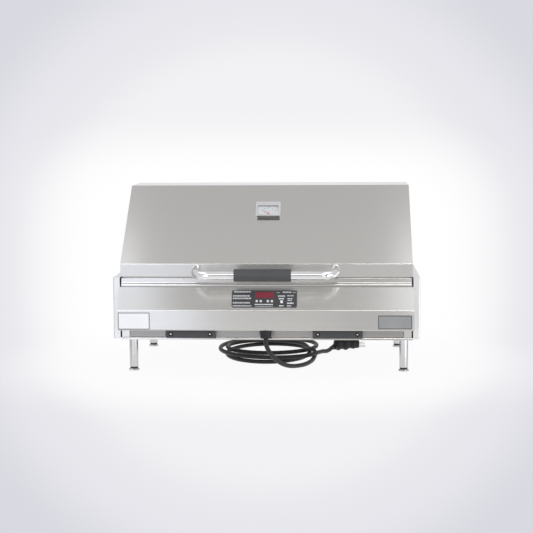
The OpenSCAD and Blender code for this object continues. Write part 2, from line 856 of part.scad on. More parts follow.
module leg(x, y) {
    r = leg_d/2;
    top = floor_z - sheet_t;
    foot_top = foot_h + foot_neck_h + hole_fit;
    flange_t = 3;
    plug_h = 14;
    bore = stud_d/2 + 0.1;
    color("silver") translate([x, y, 0]) rotate_extrude() polygon([[bore, foot_top], [r, foot_top],
        [r, top - flange_t], [leg_flange_d/2, top - flange_t], [leg_flange_d/2, top], [0, top],
        [0, top - flange_t], [r - leg_wall, top - flange_t], [r - leg_wall, foot_top + plug_h],
        [bore, foot_top + plug_h]]);
}

module foot(x, y) {
    r = foot_d/2;
    neck = leg_d/2 - foot_neck_in;
    edge = 1.5;
    stud_top = foot_h + foot_neck_h + foot_travel + stud_in;
    color("gray") translate([x, y, 0]) rotate_extrude() polygon([[0, 0], [r - edge, 0], [r, edge],
        [r, foot_h - 2*edge], [r - 2*edge, foot_h], [neck, foot_h], [neck, foot_h + foot_neck_h],
        [stud_d/2, foot_h + foot_neck_h], [stud_d/2, stud_top - 1], [stud_d/2 - 1, stud_top],
        [0, stud_top]]);
}

module hood_skin() {
    color("lightgray") difference() {
        across(2*hood_x) sheet(hood_path);
        on_hood() translate([0, 0, -stem_l]) cylinder(d = stem_d + 2*hole_fit, h = stem_l + past);
    }
}

module hood_end(side) {
    color("gainsboro") handed(side) translate([hood_x - sheet_t/2, 0, 0])
        across(sheet_t) polygon(sheet_face(hood_path, bend_r, sheet_t + seam));
}

module hood_handle() {
    r = handle_d/2;
    run = post_x - handle_bend;
    deep = handle_l - handle_bend;
    color("silver") difference() {
        translate([0, front_y, handle_z]) rotate([handle_a, 0, 0]) {
            translate([0, -handle_l, 0]) rotate([0, 90, 0]) cylinder(r = r, h = 2*run, center = true);
            for (s = [0, 1]) mirror([s, 0, 0]) {
                translate([run, -deep, 0]) rotate([0, 0, -90])
                    rotate_extrude(angle = 90) translate([handle_bend, 0]) circle(r = r);
                translate([post_x, -deep, 0]) rotate([-90, 0, 0]) cylinder(r = r, h = deep + handle_d);
            }
        }
        block([-outer_x, front_y, hood_z - handle_d], [outer_x, front_y + 2*handle_d, top_z]);
    }
}

module handle_grip() {
    inner = handle_d/2 + hole_fit;
    outer = grip_d/2;
    color("#303030") translate([0, front_y, handle_z]) rotate([handle_a, 0, 0])
        translate([grip_x, -handle_l, 0]) rotate([0, 90, 0]) rotate_extrude()
            polygon(rounded([[inner, -grip_l/2], [outer, -grip_l/2], [outer, grip_l/2], [inner, grip_l/2]],
                grip_round));
}

module thermometer_case() {
    color("silver") on_hood() {
        difference() {
            linear_extrude(gauge_t) round_rect(gauge_w, gauge_h, 4);
            translate([0, -dial_down, gauge_back_t]) linear_extrude(gauge_t)
                square([dial_w + 2*seam, dial_h + 2*seam], center = true);
            translate([0, -dial_down, lens_z]) linear_extrude(gauge_t)
                square([dial_w + 2*lens_rim + 2*seam, dial_h + 2*lens_rim + 2*seam], center = true);
        }
        translate([0, 0, -stem_l]) cylinder(d = stem_d, h = stem_l + 1);
    }
}

module thermometer_dial() {
    color("white") on_hood() translate([0, -dial_down, gauge_back_t]) {
        linear_extrude(dial_t) square([dial_w, dial_h], center = true);
        translate([0, -pivot_down, 0]) cylinder(d = pivot_d, h = needle_z + 2*needle_t - gauge_back_t);
    }
}

module thermometer_lens() {
    color("white", 0.3) on_hood() translate([0, -dial_down, lens_z]) linear_extrude(lens_t)
        square([dial_w + 2*lens_rim, dial_h + 2*lens_rim], center = true);
}

module thermometer_needle() {
    tail = 5;
    color("red") on_hood() translate([0, -dial_down - pivot_down, needle_z])
        linear_extrude(needle_t) difference() {
        union() {
            circle(d = hub_d);
            rotate(needle_rest) polygon([[-tail, -0.8], [needle_l, -0.25], [needle_l, 0.25], [-tail, 0.8]]);
        }
        circle(d = pivot_d + 4*run_fit);
    }
}

module grate(side) {
    bars = [grate_y0 + seat, (grate_y0 + grate_y1 - bar_w)/2, grate_y1 - bar_w - seat];
    color("silver") handed(side) {
        for (i = [0:rod_count - 1]) translate([rod_x0 + i*rod_pitch, grate_y0, rod_z])
            rotate([-90, 0, 0]) cylinder(d = rod_d, h = grate_y1 - grate_y0);
        for (y = bars) block([grate_x0, y, bar_z], [grate_x1, y + bar_w, bar_z + bar_h]);
    }
}

module strain_relief() {
    r = relief_d/2;
    end = relief_end_d/2;
    flange = 4;
    groove = 1.2;
    ribs = 4;
    rib_h = (relief_l - flange)/ribs;
    function taper(h) = r - 1 + (end - r + 1)*h/(relief_l - flange);
    sides = [for (i = [0:ribs - 1]) each [
        [taper(i*rib_h), -flange - i*rib_h], [taper(i*rib_h), -flange - (i + 0.6)*rib_h],
        [taper(i*rib_h) - groove, -flange - (i + 0.65)*rib_h],
        [taper(i*rib_h) - groove, -flange - (i + 0.95)*rib_h]]];
    color("#202020") translate([0, relief_y, face_z]) {
        rotate_extrude() polygon(concat([[0, 0], [r, 0], [r, -flange]], sides,
            [[end, -relief_l], [0, -relief_l]]));
        cylinder(d = relief_neck_d, h = sheet_t + relief_nut_h);
        translate([0, 0, sheet_t]) cylinder(d = relief_nut_d, h = relief_nut_h, $fn = 6);
    }
}

// Route of the whole cord: x, depth behind the front plane, height
function eased(t) = let (c = min(max(t, 0), 1)) c*c*(3 - 2*c);
function coil_wandered(t) =
    let (u = (t - coil_wander_at)/coil_wander_turns)
    abs(u) < 1 ? coil_wander*(1 + cos(180*u))/2 : 0;
function coil_point(t) =
    let (r = coil_r + coil_step*abs(t - coil_widen),
        share = eased((t - coil_deep_at[0])/(coil_deep_at[1] - coil_deep_at[0])),
        deep = coil_deep[0] + (coil_deep[1] - coil_deep[0])*share)
    [coil_x + r*cos(360*t), coil_depth + coil_wandered(t) + deep*r*sin(360*t),
     lay_z + layer_h*eased((t - coil_climb[0])/(coil_climb[1] - coil_climb[0]))];
coil_route = [for (i = [0:coil_turns*coil_rings]) coil_point(i/coil_rings)];
tail_end = [plug_at - cord_d*plug_dir, plug_at];

// Point a share t of the way from b to c on a smooth curve through a, b, c and d
function between(a, b, c, d, t) =
    (2*b + (c - a)*t + (2*a - 5*b + 4*c - d)*t*t + (3*b - a - 3*c + d)*t*t*t)/2;
function smoothed(points, before, after, steps) =
    let (n = len(points), p = concat([before], points, [after]))
    [for (i = [1:n - 1], k = [0:steps - 1]) between(p[i - 1], p[i], p[i + 1], p[i + 2], k/steps)];

lead_knots = concat(lead_route, [coil_route[0]]);
tail_knots = concat([coil_route[len(coil_route) - 1]], tail_route, tail_end);
free_steps = 2;
lead_line = smoothed(lead_knots, 2*lead_knots[0] - lead_knots[1], coil_route[1], free_steps);
tail_line = smoothed(tail_knots, coil_route[len(coil_route) - 2], plug_at + cord_d*plug_dir, free_steps);
cord_line = concat(lead_line, coil_route, [for (i = [1:len(tail_line) - 1]) tail_line[i]], [plug_at]);
coil_from = len(lead_line);
coil_to = coil_from + len(coil_route) - 1;

// Direction of the cord at one of its points
function cord_way(i) =
    i == 0 ? [0, 0, -1] : i == len(cord_line) - 1 ? plug_dir : unit(cord_line[i + 1] - cord_line[i - 1]);
function cord_ring(i, ref) =
    let (w = cord_way(i), e = unit(cross(ref, w)), f = cross(w, e))
    [for (k = [0:cord_sides - 1]) cord_line[i] + cord_r*(cos(360*k/cord_sides)*e + sin(360*k/cord_sides)*f)];

// Tube along part of the cord
module cord_tube(from, to, ref) {
    n = cord_sides;
    rings = to - from;
    points = [for (i = [from:to]) each cord_ring(i, ref)];
    walls = [for (i = [0:rings - 1], k = [0:n - 1]) each let (a = i*n + k, b = i*n + (k + 1)%n)
        [[a, b + n, b], [a, a + n, b + n]]];
    caps = [for (k = [1:n - 2]) each [[0, k, k + 1], [rings*n, rings*n + k + 1, rings*n + k]]];
    color("#262626") translate([0, front_y, 0]) polyhedron(points, concat(walls, caps));
}

module cord_lead() {
    cord_tube(0, coil_from, [1, 0, 0]);
}

module cord_coil() {
    samples = [for (i = [0:coil_turns*gap_samples]) coil_point(i/gap_samples)];
    apart = gap_samples/4;
    last = len(samples) - 1;
    gaps = [for (i = [0:last], j = [i + apart:1:last]) norm(samples[i] - samples[j])];
    echo("least gap of the coil to itself, mm", min(gaps) - cord_d);
    cord_tube(coil_from, coil_to, [0, 0, 1]);
}

module cord_tail() {
    cord_tube(coil_to, len(cord_line) - 1, [0, 0, 1]);
}

// Frame along the plug: z is the way the blades point
module on_plug() {
    translate(plug_start + [0, front_y, 0]) rotate([0, 0, plug_turn]) rotate([0, 90, 0]) children();
}

// Radius of the plug's body along its middle line: waves for the fingers, slimmer towards the blades
function plug_r(s) =
    let (wave = plug_wave*(1 - cos(360*(s - boot_along)/plug_pitch))/2,
        slim = plug_slim*max(s - boot_along - plug_pitch, 0),
        end = s < plug_round ? plug_round - sqrt(plug_round*plug_round - (plug_round - s)*(plug_round - s)) : 0)
    max(plug_d/2 - wave - slim, plug_face_d/2) - end;

module plug_body() {
    edge = 1;
    steps = 30;
    body = plug_l - edge;
    side = [for (i = [0:steps]) [plug_r(body*i/steps), body*i/steps]];
    color("#202020") {
        on_plug() rotate_extrude() polygon(concat([[0, 0]], side, [[plug_face_d/2 - edge, plug_l], [0, plug_l]]));
        translate(plug_at + [0, front_y, 0]) rotate([0, 0, boot_turn]) rotate([0, 90, 0])
            cylinder(r1 = cord_r + 2.2, r2 = cord_r + 4, h = boot_l);
    }
}

module plug_blades() {
    blade_w = 6.4;
    blade_t = 1.6;
    spread = 6.35;
    ground_d = 4.8;
    ground_down = 9;
    color("silver") on_plug() translate([0, 0, plug_l]) {
        for (s = [-1, 1]) translate([-blade_w/2, s*spread - blade_t/2, 0]) cube([blade_w, blade_t, blade_l]);
        translate([ground_down, 0, 0]) cylinder(d = ground_d, h = blade_l + 3);
    }
}

base_pan();
side_panel(-1);  // side_panel_left
side_panel(1);  // side_panel_right
rear_panel();
firebox();
front_rail();
control_fascia();
heat_shield();
tray_guide(-1);  // tray_guide_left
tray_guide(1);  // tray_guide_right
tray_divider();
heating_element();
element_rests();
temperature_probe();
control_board();
power_relay();
terminal_block();
display_window();
keypad_overlay();
hinge_base(-1);  // hinge_base_left
hinge_base(1);  // hinge_base_right
hinge_pin(-1);  // hinge_pin_left
hinge_pin(1);  // hinge_pin_right
leg(-leg_x, leg_y[0]);  // leg_front_left
leg(leg_x, leg_y[0]);  // leg_front_right
leg(-leg_x, leg_y[1]);  // leg_rear_left
leg(leg_x, leg_y[1]);  // leg_rear_right
foot(-leg_x, leg_y[0]);  // foot_front_left
foot(leg_x, leg_y[0]);  // foot_front_right
foot(-leg_x, leg_y[1]);  // foot_rear_left
foot(leg_x, leg_y[1]);  // foot_rear_right
tray(-1);  // tray_left
tray(1);  // tray_right
tray_handle(-1);  // tray_handle_left
tray_handle(1);  // tray_handle_right
hood_skin();
hood_end(-1);  // hood_end_left
hood_end(1);  // hood_end_right
hood_handle();
handle_grip();
hinge_leaf(-1);  // hinge_leaf_left
hinge_leaf(1);  // hinge_leaf_right
thermometer_case();
thermometer_dial();
thermometer_lens();
thermometer_needle();
grate(-1);  // grate_left
grate(1);  // grate_right
key(0);  // key_1
key(1);  // key_2
key(2);  // key_3
key(3);  // key_4
strain_relief();
cord_lead();
cord_coil();
cord_tail();
plug_body();
plug_blades();
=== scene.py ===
import json
import math
import random

import bpy
from mathutils import Matrix, Vector


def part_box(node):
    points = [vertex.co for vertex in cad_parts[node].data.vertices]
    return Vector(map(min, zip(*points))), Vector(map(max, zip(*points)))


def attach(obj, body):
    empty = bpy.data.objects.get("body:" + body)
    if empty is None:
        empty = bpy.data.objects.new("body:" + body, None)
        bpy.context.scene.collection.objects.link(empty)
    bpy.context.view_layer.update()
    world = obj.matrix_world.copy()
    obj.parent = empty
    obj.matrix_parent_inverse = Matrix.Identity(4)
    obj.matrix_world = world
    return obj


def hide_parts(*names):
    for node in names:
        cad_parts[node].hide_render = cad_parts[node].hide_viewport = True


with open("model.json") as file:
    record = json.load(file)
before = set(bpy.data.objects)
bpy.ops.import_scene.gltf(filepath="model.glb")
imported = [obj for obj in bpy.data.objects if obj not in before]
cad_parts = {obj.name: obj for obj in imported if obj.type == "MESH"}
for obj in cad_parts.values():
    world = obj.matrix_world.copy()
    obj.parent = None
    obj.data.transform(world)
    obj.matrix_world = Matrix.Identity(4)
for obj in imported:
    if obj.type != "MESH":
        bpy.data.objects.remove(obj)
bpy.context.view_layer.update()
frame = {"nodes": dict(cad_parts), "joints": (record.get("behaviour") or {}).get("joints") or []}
nodes = frame["nodes"]
joints = {joint["name"]: joint for joint in frame["joints"]}
mm = 0.001
smoothAngle = math.radians(35)  # edges sharper than this stay sharp
bpy.context.tool_settings.mesh_select_mode = (False, False, True)
print("frame loaded:", len(nodes), "nodes")


def nothingSelected():
    if bpy.context.object and bpy.context.object.mode != "OBJECT":
        bpy.ops.object.mode_set(mode="OBJECT")
    bpy.ops.object.select_all(action="DESELECT")


def pickOnly(piece):
    nothingSelected()
    piece.select_set(True)
    bpy.context.view_layer.objects.active = piece


def boxCentre(node):
    low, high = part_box(node)
    return (low + high) / 2


# camera

cameraSetup = {
    "place": (0.189, -3.817, 0.679),
    "yaw": 2.992,   # degrees, to the left
    "tilt": 6.091,  # degrees, down
    "roll": -0.309,
    "lens": 92.2,
    "sensor": 36,
}


def setCamera(setup):
    nothingSelected()
    bpy.ops.object.camera_add()
    camera = bpy.context.object
    camera.name = "photoCamera"
    camera.data.sensor_width = setup["sensor"]
    camera.data.lens = setup["lens"]
    turn = (Matrix.Rotation(math.radians(setup["yaw"]), 4, "Z")
            @ Matrix.Rotation(math.radians(90 - setup["tilt"]), 4, "X")
            @ Matrix.Rotation(math.radians(setup["roll"]), 4, "Z"))
    camera.matrix_world = Matrix.Translation(setup["place"]) @ turn
    bpy.context.scene.camera = camera
    return turn


viewTurn = setCamera(cameraSetup)
bpy.context.scene.view_settings.view_transform = "Standard"
print("camera set")


# power cord, on the solids' route: millimetres to the right, behind the front plane and up

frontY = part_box("side_panel_left")[0].y
cordShape = {
    "diameter": 0.012,
    "length": 3.146,
    "lead": [(3, -15, 84), (9, -6, 70), (18, 10, 54), (31, 34, 37), (48, 66, 22), (70, 105, 12),
             (97, 155, 7.5), (115, 215, 6.2), (123, 283, 6.2)],
    "coil": {"x": -8, "depth": 352, "turns": 2.75, "radius": 115, "step": 19.5, "widen": 0.95,
             "climb": (0.97, 1.12), "lie": 6.2, "layer": 12.8, "deep": (1.26, 1.04), "deepAt": (0.8, 1.3),
             "wander": 60, "wanderAt": 1.88, "wanderTurns": 1.1},
    "tail": [(28, 201, 19), (62, 209, 19), (92, 226, 19), (116, 252, 19), (133, 288, 18.5),
             (146, 326, 15.5), (157, 354, 11.5), (166, 382, 11)],
    "plug": (178.51, 412.246, 14),
    "plugTurn": 62,  # degrees from the right towards the back
    "straight": 12,  # run at each end
    "pointsPerTurn": 48,
    "stepsBetween": 8,
    "roundness": 5,
}


# 0 before start, 1 after end, smooth between
def eased(value, start, end):
    share = min(max((value - start) / (end - start), 0), 1)
    return share * share * (3 - 2 * share)


# the coil widens both ways from its narrowest turn, wanders back and climbs over its first loop
def coilPoint(coil, turn):
    radius = coil["radius"] + coil["step"] * abs(turn - coil["widen"])
    off = (turn - coil["wanderAt"]) / coil["wanderTurns"]
    back = coil["wander"] * (1 + math.cos(math.pi * off)) / 2 if abs(off) < 1 else 0
    first, last = coil["deep"]
    deep = radius * (first + (last - first) * eased(turn, *coil["deepAt"]))
    height = coil["lie"] + coil["layer"] * eased(turn, *coil["climb"])
    angle = 2 * math.pi * turn
    return (coil["x"] + radius * math.cos(angle), coil["depth"] + back + deep * math.sin(angle), height)


# a smooth line through every knot, heading in from before and out to after
def smoothLine(knots, before, after, steps):
    points = [Vector(p) for p in [before, *knots, after]]
    line = []
    for i in range(1, len(points) - 2):
        a, b, c, d = points[i - 1:i + 3]
        for k in range(steps):
            t = k / steps
            line.append((2 * b + (c - a) * t + (2 * a - 5 * b + 4 * c - d) * t * t
                         + (3 * b - a - 3 * c + d) * t * t * t) / 2)
    return line


def cordLine(shape):
    middle = boxCentre("strain_relief")
    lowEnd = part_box("strain_relief")[0].z
    relief = Vector((middle.x, middle.y - frontY, lowEnd)) / mm
    coil = shape["coil"]
    count = round(coil["turns"] * shape["pointsPerTurn"])
    loops = [Vector(coilPoint(coil, i / shape["pointsPerTurn"])) for i in range(count + 1)]
    plug = Vector(shape["plug"])
    turn = math.radians(shape["plugTurn"])
    into = Vector((math.cos(turn), math.sin(turn), 0)) * shape["straight"]
    down = Vector((0, 0, -shape["straight"]))
    leadKnots = [relief, relief + down, *shape["lead"], loops[0]]
    tailKnots = [loops[-1], *shape["tail"], plug - into, plug]
    lead = smoothLine(leadKnots, relief - down, loops[1], shape["stepsBetween"])
    tail = smoothLine(tailKnots, loops[-2], plug + into, shape["stepsBetween"])
    line = lead + loops + tail[1:] + [plug]
    return [p * mm + Vector((0, frontY, 0)) for p in line]


def makeCord(shape):
    line = cordLine(shape)
    curve = bpy.data.curves.new("powerCord", "CURVE")
    curve.dimensions = "3D"
    curve.bevel_depth = 1  # times each point's radius
    curve.bevel_resolution = shape["roundness"]
    curve.use_fill_caps = True
    spline = curve.splines.new("POLY")
    spline.points.add(len(line) - 1)
    for point, place in zip(spline.points, line):
        point.co = (*place, 1)
        point.radius = shape["diameter"] / 2
    spline.use_smooth = True
    cord = bpy.data.objects.new("powerCord", curve)
    bpy.context.scene.collection.objects.link(cord)
    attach(cord, "base")
    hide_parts("cord_lead", "cord_coil", "cord_tail")
    total = sum((b - a).length for a, b in zip(line, line[1:]))
    print("cord laid, metres:", round(total, 3))
    return cord


powerCord = makeCord(cordShape)


# materials

noiseSpan = (0.3, 0.7)  # most of a noise lies in this range
brushBump = 0.0002
grainBump = 0.0003
plasticClouds = 14  # noise scale of a plastic's cloudy tone


def newMaterial(name, **sockets):
    material = bpy.data.materials.new(name)
    material.use_nodes = True
    shader = material.node_tree.nodes["Principled BSDF"]
    for socket, value in sockets.items():
        shader.inputs[socket.replace("_", " ")].default_value = value
    return material, material.node_tree, shader


def addNode(tree, kind, inputs=None, **settings):
    node = tree.nodes.new(kind)
    for setting, value in settings.items():
        setattr(node, setting, value)
    for socket, value in (inputs or {}).items():
        node.inputs[socket].default_value = value
    return node


def stretchedNoise(tree, scale, detail=2.0):
    place = addNode(tree, "ShaderNodeTexCoord")
    stretch = addNode(tree, "ShaderNodeMapping", {"Scale": scale})
    noise = addNode(tree, "ShaderNodeTexNoise", {"Scale": 1.0, "Detail": detail, "Roughness": 0.5})
    tree.links.new(place.outputs["Object"], stretch.inputs["Vector"])
    tree.links.new(stretch.outputs["Vector"], noise.inputs["Vector"])
    return noise.outputs["Fac"]


def spread(tree, value, low, high):
    ranged = addNode(tree, "ShaderNodeMapRange", {"From Min": noiseSpan[0], "From Max": noiseSpan[1],
                                                  "To Min": low, "To Max": high})
    tree.links.new(value, ranged.inputs["Value"])
    return ranged.outputs["Result"]


def twoTone(tree, shader, value, dark, light):
    mix = addNode(tree, "ShaderNodeMix", data_type="RGBA")
    colourA = [s for s in mix.inputs if s.name == "A" and s.type == "RGBA"][0]
    colourB = [s for s in mix.inputs if s.name == "B" and s.type == "RGBA"][0]
    colourA.default_value = (*dark, 1)
    colourB.default_value = (*light, 1)
    tree.links.new(value, mix.inputs["Factor"])
    result = [s for s in mix.outputs if s.type == "RGBA"][0]
    tree.links.new(result, shader.inputs["Base Color"])


def bumpFrom(tree, shader, value, strength, distance):
    bump = addNode(tree, "ShaderNodeBump", {"Strength": strength, "Distance": distance})
    tree.links.new(value, bump.inputs["Height"])
    tree.links.new(bump.outputs["Normal"], shader.inputs["Normal"])


def heightOf(tree):
    place = addNode(tree, "ShaderNodeTexCoord")
    parts = addNode(tree, "ShaderNodeSeparateXYZ")
    tree.links.new(place.outputs["Object"], parts.inputs["Vector"])
    return parts.outputs["Z"]


# rougher below a height, over 2 mm
def duller(tree, gloss, height, extra):
    low = addNode(tree, "ShaderNodeMapRange", {"From Min": height - mm, "From Max": height + mm,
                                               "To Min": extra, "To Max": 0.0})
    tree.links.new(heightOf(tree), low.inputs["Value"])
    total = addNode(tree, "ShaderNodeMath", operation="ADD")
    tree.links.new(gloss, total.inputs[0])
    tree.links.new(low.outputs["Result"], total.inputs[1])
    return total.outputs[0]


def brushScale(look, scale):
    return [scale / look["stretch"] if axis == look["along"] else scale for axis in "XYZ"]


def brushedSteel(name, look):
    material, tree, shader = newMaterial(name, Metallic=1.0, Anisotropic=look["anisotropic"],
                                         Anisotropic_Rotation=0.25)  # gloss spreads across the brush lines
    lines = stretchedNoise(tree, brushScale(look, look["fine"]), detail=3)
    bands = stretchedNoise(tree, brushScale(look, look["broad"]))
    twoTone(tree, shader, spread(tree, bands, 0, 1), look["dark"], look["light"])
    gloss = spread(tree, lines, look["smooth"], look["rough"])
    if "dullBelow" in look:
        gloss = duller(tree, gloss, *look["dullBelow"])
    tree.links.new(gloss, shader.inputs["Roughness"])
    bumpFrom(tree, shader, lines, look["depth"], brushBump)
    tangent = addNode(tree, "ShaderNodeCombineXYZ", {look["along"]: 1.0})
    tree.links.new(tangent.outputs["Vector"], shader.inputs["Tangent"])
    return material


def cloudyTone(tree, shader, look):
    clouds = stretchedNoise(tree, [look.get("clouds", plasticClouds)] * 3)
    twoTone(tree, shader, spread(tree, clouds, 0, 1), look["dark"], look["light"])
    tree.links.new(spread(tree, clouds, look["smooth"], look["rough"]), shader.inputs["Roughness"])


def mouldedPlastic(name, look):
    material, tree, shader = newMaterial(name, Specular_IOR_Level=look.get("specular", 0.5))
    grain = stretchedNoise(tree, [look["grain"]] * 3, detail=3)
    cloudyTone(tree, shader, look)
    bumpFrom(tree, shader, grain, look["depth"], grainBump)
    return material


def polishedMetal(name, look):
    material, tree, shader = newMaterial(name, Metallic=1.0)
    cloudyTone(tree, shader, look)
    return material


steelLook = {"along": "X", "fine": 3600, "broad": 240, "stretch": 700, "anisotropic": 0.55,
             "smooth": 0.18, "rough": 0.205, "depth": 0.004,
             "dark": (0.593, 0.58, 0.55), "light": (0.607, 0.594, 0.564)}
innerLook = {"anisotropic": 0.3, "smooth": 0.32, "rough": 0.42,
             "dark": (0.46, 0.45, 0.43), "light": (0.54, 0.53, 0.51)}
# the trays are rougher, and darker in colour than the other steel: painted shade, for the shade under the
# fascia's overhang
trayDullAndShaded = {"smooth": 0.42, "rough": 0.52, "dark": (0.43, 0.417, 0.4), "light": (0.47, 0.457, 0.438)}
sideLook = {"along": "Z", "smooth": 0.3, "rough": 0.36,
            "dark": (0.73, 0.722, 0.7), "light": (0.75, 0.742, 0.72)}
hoodLook = {"dullBelow": (0.301, 0.13)}  # hands have dulled the lip under the hood's fold

steels = {
    "steelAcross": steelLook,
    "steelHood": {**steelLook, **hoodLook},
    "steelDeep": {**steelLook, "along": "Y"},
    "steelUpright": {**steelLook, **sideLook},
    "trayShadedSteel": {**steelLook, **trayDullAndShaded},
    "fireboxSheet": {**steelLook, **innerLook},
}
metals = {
    "legTube": {"clouds": 30, "smooth": 0.12, "rough": 0.2,
                "dark": (0.58, 0.575, 0.57), "light": (0.65, 0.645, 0.64)},
    "handleChrome": {"clouds": 18, "smooth": 0.05, "rough": 0.1,
                     "dark": (0.8, 0.8, 0.8), "light": (0.87, 0.87, 0.87)},
    "grateRods": {"clouds": 60, "smooth": 0.25, "rough": 0.38,
                  "dark": (0.5, 0.5, 0.49), "light": (0.62, 0.62, 0.61)},
    "heaterSheath": {"clouds": 45, "smooth": 0.4, "rough": 0.6,
                     "dark": (0.1, 0.095, 0.09), "light": (0.19, 0.18, 0.165)},
    "plugContacts": {"clouds": 60, "smooth": 0.15, "rough": 0.28,
                     "dark": (0.74, 0.73, 0.7), "light": (0.82, 0.81, 0.79)},
}
inkLook = {"grain": 900, "depth": 0.03, "smooth": 0.5, "rough": 0.6}
plateLook = {"grain": 500, "depth": 0.03, "smooth": 0.35, "rough": 0.45}
plastics = {
    "gripFoam": {"grain": 900, "depth": 0.5, "smooth": 0.55, "rough": 0.7,
                 "dark": (0.058, 0.058, 0.06), "light": (0.072, 0.072, 0.074)},
    "pullPlastic": {"grain": 1500, "depth": 0.25, "smooth": 0.42, "rough": 0.55,
                    "dark": (0.05, 0.05, 0.051), "light": (0.06, 0.06, 0.061)},
    "cordRubber": {"grain": 700, "depth": 0.2, "smooth": 0.4, "rough": 0.55, "specular": 0.35,
                   "dark": (0.016, 0.016, 0.017), "light": (0.025, 0.025, 0.027)},
    # near-black: painted shade for the bottom of the pull's screw holes
    "paintedHoleShade": {"grain": 900, "depth": 0.1, "smooth": 0.6, "rough": 0.75, "specular": 0.2,
                    "dark": (0.006, 0.006, 0.006), "light": (0.01, 0.01, 0.01)},
    "keypadFilm": {"grain": 2200, "depth": 0.12, "smooth": 0.38, "rough": 0.48,
                   "dark": (0.036, 0.036, 0.037), "light": (0.046, 0.046, 0.047)},
    "displayRed": {"grain": 300, "depth": 0.02, "smooth": 0.14, "rough": 0.2,
                   "dark": (0.25, 0.042, 0.056), "light": (0.29, 0.052, 0.068)},
    "keyWhite": {"grain": 1600, "depth": 0.1, "smooth": 0.3, "rough": 0.4,
                 "dark": (0.74, 0.74, 0.74), "light": (0.82, 0.82, 0.82)},
    "dialEnamel": {"grain": 900, "depth": 0.04, "smooth": 0.35, "rough": 0.45,
                   "dark": (0.92, 0.92, 0.93), "light": (0.96, 0.96, 0.97)},
    "needleRed": {"grain": 900, "depth": 0.05, "smooth": 0.3, "rough": 0.4,
                  "dark": (0.55, 0.02, 0.02), "light": (0.65, 0.03, 0.03)},
    "boardMask": {"grain": 500, "depth": 0.1, "smooth": 0.3, "rough": 0.45,
                  "dark": (0.015, 0.1, 0.04), "light": (0.03, 0.17, 0.07)},
    "terminalCeramic": {"grain": 700, "depth": 0.1, "smooth": 0.35, "rough": 0.5,
                        "dark": (0.68, 0.64, 0.54), "light": (0.76, 0.72, 0.62)},
    "darkInk": {**inkLook, "dark": (0.03, 0.03, 0.035), "light": (0.05, 0.05, 0.055)},
    "greyInk": {**inkLook, "dark": (0.52, 0.52, 0.52), "light": (0.62, 0.62, 0.62)},
    "whiteInk": {**inkLook, "dark": (0.84, 0.84, 0.84), "light": (0.9, 0.9, 0.9)},
    "plateWhite": {**plateLook, "dark": (0.93, 0.93, 0.92), "light": (0.96, 0.96, 0.95)},
    "plateGrey": {**plateLook, "dark": (0.29, 0.29, 0.28), "light": (0.33, 0.33, 0.32)},
    "plateEdge": {**plateLook, "smooth": 0.4, "rough": 0.5,
                  "dark": (0.11, 0.11, 0.11), "light": (0.15, 0.15, 0.15)},
}
finishes = {}
for kind, looks in ((brushedSteel, steels), (polishedMetal, metals), (mouldedPlastic, plastics)):
    for finishName, finishLook in looks.items():
        finishes[finishName] = kind(finishName, finishLook)


# the thermometer's lens: clear, with faint smears
lensLook = {"index": 1.45, "tint": (0.97, 0.98, 0.98), "smears": 90, "smooth": 0.01, "rough": 0.05}


def lensGlass(name, look):
    material, tree, shader = newMaterial(name, Transmission_Weight=1.0, IOR=look["index"],
                                         Base_Color=(*look["tint"], 1))
    smears = stretchedNoise(tree, [look["smears"]] * 3)
    tree.links.new(spread(tree, smears, look["smooth"], look["rough"]), shader.inputs["Roughness"])
    return material


# a levelling foot: bright metal with a black band between two heights: painted shade, for the shade in the
# groove where the foot meets the leg
footLook = {"shadeBand": (0.0054, 0.0107), "metal": (0.66, 0.655, 0.65), "shadeTone": (0.016, 0.016, 0.017),
            "wear": 120, "smooth": 0.16, "rough": 0.3}


def collaredFoot(name, look):
    material, tree, shader = newMaterial(name)
    # the band is painted shade: black, and not metal
    low, high = look["shadeBand"]
    middle = {1: (low + high) / 2, 2: (high - low) / 2}
    inside = addNode(tree, "ShaderNodeMath", middle, operation="COMPARE")
    tree.links.new(heightOf(tree), inside.inputs[0])
    twoTone(tree, shader, inside.outputs[0], look["metal"], look["shadeTone"])
    bright = addNode(tree, "ShaderNodeMath", {0: 1.0}, operation="SUBTRACT")
    tree.links.new(inside.outputs[0], bright.inputs[1])
    tree.links.new(bright.outputs[0], shader.inputs["Metallic"])
    wear = stretchedNoise(tree, [look["wear"]] * 3)
    tree.links.new(spread(tree, wear, look["smooth"], look["rough"]), shader.inputs["Roughness"])
    return material


finishes["gaugeLens"] = lensGlass("gaugeLens", lensLook)
finishes["footShadeBand"] = collaredFoot("footShadeBand", footLook)

